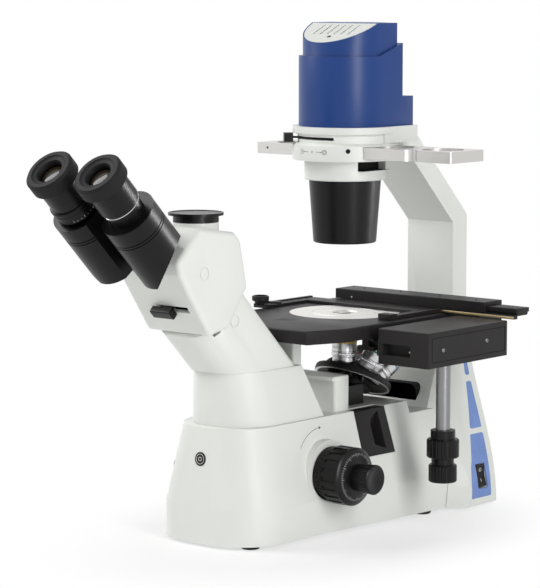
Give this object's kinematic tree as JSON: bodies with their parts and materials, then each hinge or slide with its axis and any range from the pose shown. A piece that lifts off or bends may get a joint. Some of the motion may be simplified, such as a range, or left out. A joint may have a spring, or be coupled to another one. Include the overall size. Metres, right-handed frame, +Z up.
{
  "type": "inverted microscope",
  "caption": "Inverted microscope with tilted binocular head, nosepiece turret under a mechanical stage, coaxial focus and an overhead illuminator on a flared rear pillar.",
  "frame": {"origin": "on the table under the axis of the working objective", "axes": "+Z up, -Y towards the user and the eyepieces, +X to the user's right, the side of the stage drive"},
  "size_m": [0.284, 0.566, 0.488],
  "materials": {
    "white_paint": "satin",
    "black_paint": "satin",
    "blue_panel": "satin",
    "blue_paint": "satin",
    "black_plastic": "matte",
    "black_gloss": "glossy",
    "rubber": "matte",
    "chrome": "polished",
    "steel": "brushed",
    "satin_metal": "satin",
    "dark_metal": "anodised",
    "cast_metal": "cast",
    "glass": "polished",
    "mirror": "polished",
    "circuit": "matte"
  },
  "bodies": {
    "frame": {"base_casting": "white_paint", "bottom_plate": "steel", "rubber_feet": "rubber", "neck_cover": "white_paint", "deck_cover": "white_paint", "stage_column": "white_paint", "pillar_casting": "white_paint", "blue_inlays": "blue_panel", "power_inlet": "black_plastic", "power_board": "circuit", "mirror_mounts": "cast_metal", "base_mirrors": "mirror", "tube_lens": "glass", "head_casing": "white_paint", "focus_guide": "steel", "camera_tube": "white_paint", "binocular_yoke": "steel", "stage_plate": "black_paint", "lamp_block": "white_paint", "lamp_house": "blue_paint", "lamp_top_cover": "white_paint", "filter_ring": "white_paint", "condenser_housing": "black_paint", "illuminator_lenses": "glass", "led_module": "cast_metal"},
    "nosepiece_lift": {"nosepiece_carrier": "black_paint", "focus_slide": "steel"},
    "turret": {"turret_disc": "dark_metal", "objective_4x": "chrome", "objective_10x": "chrome", "objective_20x": "chrome", "objective_40x": "chrome", "turret_plug": "black_plastic"},
    "coarse_focus": {"coarse_knobs": "black_plastic", "coarse_shaft": "steel"},
    "fine_focus": {"fine_knobs": "black_plastic", "fine_shaft": "steel"},
    "tension": {"tension_ring": "black_plastic"},
    "bay_door": {"bay_cover": "dark_metal"},
    "power_rocker": {"rocker_switch": "black_gloss"},
    "brightness": {"brightness_dial": "black_plastic"},
    "beam_selector": {"path_selector": "black_plastic", "beam_splitter": "glass"},
    "port_cap": {"camera_port_cap": "black_plastic"},
    "right_tube": {"right_prism_housing": "black_paint", "right_eyepiece": "black_paint", "right_eyecup": "rubber"},
    "left_tube": {"left_prism_housing": "black_paint", "left_eyepiece": "black_paint", "left_eyecup": "rubber"},
    "diopter": {"diopter_ring": "black_paint"},
    "insert": {"stage_insert": "satin_metal"},
    "stage_carriage": {"y_carriage": "black_paint", "stage_shaft": "steel"},
    "specimen_holder": {"x_holder": "black_paint"},
    "clamp": {"specimen_clamp": "black_paint"},
    "y_knob": {"y_drive_knob": "black_plastic"},
    "x_knob": {"x_drive_knob": "black_plastic"},
    "iris": {"iris_lever": "black_plastic"},
    "slider": {"phase_slider": "satin_metal"}
  },
  "joints": [
    {"name": "focus_lift", "type": "slide", "parent": "frame", "child": "nosepiece_lift", "axis": [0, 0, 1], "range_m": [-0.002, 0.005]},
    {"name": "coarse_turn", "type": "hinge", "parent": "frame", "child": "coarse_focus", "pos_m": [0, -0.1, 0.06], "axis": [1, 0, 0], "range_deg": [-20, 48]},
    {"name": "fine_turn", "type": "hinge", "parent": "frame", "child": "fine_focus", "pos_m": [0, -0.1, 0.06], "axis": [1, 0, 0], "continuous": true},
    {"name": "tension_turn", "type": "hinge", "parent": "frame", "child": "tension", "pos_m": [0.066, -0.1, 0.06], "axis": [1, 0, 0], "range_deg": [0, 120]},
    {"name": "turret_turn", "type": "hinge", "parent": "nosepiece_lift", "child": "turret", "pos_m": [0, 0.01489, 0.13503], "axis": [0, 0.454, 0.891], "continuous": true},
    {"name": "bay_slide", "type": "slide", "parent": "frame", "child": "bay_door", "axis": [1, 0, 0], "range_m": [0, 0.03]},
    {"name": "rocker_tilt", "type": "hinge", "parent": "frame", "child": "power_rocker", "pos_m": [0.088, 0.107, 0.031], "axis": [0, 1, 0], "range_deg": [0, 16]},
    {"name": "dial_turn", "type": "hinge", "parent": "frame", "child": "brightness", "pos_m": [-0.07, -0.16, 0.06], "axis": [-1, 0, 0], "range_deg": [0, 270]},
    {"name": "selector_slide", "type": "slide", "parent": "frame", "child": "beam_selector", "axis": [1, 0, 0], "range_m": [0, 0.022]},
    {"name": "cap_lift", "type": "slide", "parent": "frame", "child": "port_cap", "axis": [0, 0, 1], "range_m": [0, 0.012]},
    {"name": "right_tube_swing", "type": "hinge", "parent": "frame", "child": "right_tube", "pos_m": [0, -0.29893, 0.30918], "axis": [0, -0.7071, 0.7071], "range_deg": [-11.7, 35.8]},
    {"name": "left_tube_swing", "type": "hinge", "parent": "frame", "child": "left_tube", "pos_m": [0, -0.29893, 0.30918], "axis": [0, -0.7071, 0.7071], "range_deg": [-35.8, 11.7]},
    {"name": "diopter_turn", "type": "hinge", "parent": "left_tube", "child": "diopter", "pos_m": [-0.03, -0.35172, 0.33135], "axis": [0, -0.7071, 0.7071], "range_deg": [-60, 60]},
    {"name": "insert_turn", "type": "hinge", "parent": "frame", "child": "insert", "pos_m": [0, 0, 0.2], "axis": [0, 0, 1], "continuous": true},
    {"name": "stage_y", "type": "slide", "parent": "frame", "child": "stage_carriage", "axis": [0, 1, 0], "range_m": [-0.039, 0.039]},
    {"name": "stage_x", "type": "slide", "parent": "stage_carriage", "child": "specimen_holder", "axis": [1, 0, 0], "range_m": [-0.06, 0.06]},
    {"name": "clamp_turn", "type": "hinge", "parent": "specimen_holder", "child": "clamp", "pos_m": [-0.088, -0.026, 0.206], "axis": [0, 0, 1], "range_deg": [0, 35]},
    {"name": "y_knob_turn", "type": "hinge", "parent": "stage_carriage", "child": "y_knob", "pos_m": [0.13, -0.009, 0.085], "axis": [0, 0, 1], "range_deg": [-450, 450]},
    {"name": "x_knob_turn", "type": "hinge", "parent": "stage_carriage", "child": "x_knob", "pos_m": [0.13, -0.009, 0.058], "axis": [0, 0, 1], "range_deg": [-690, 690]},
    {"name": "iris_turn", "type": "hinge", "parent": "frame", "child": "iris", "pos_m": [0, 0, 0.37575], "axis": [0, 0, 1], "range_deg": [-4, 62]},
    {"name": "slider_shift", "type": "slide", "parent": "frame", "child": "slider", "axis": [1, 0, 0], "range_m": [-0.06, 0.06]}
  ],
  "couplings": [
    {"joint": "coarse_turn", "follows": "focus_lift", "rad_per_m": 166.67},
    {"joint": "left_tube_swing", "follows": "right_tube_swing", "ratio": -1},
    {"joint": "y_knob_turn", "follows": "stage_y", "rad_per_m": 200},
    {"joint": "x_knob_turn", "follows": "stage_x", "rad_per_m": 200}
  ]
}
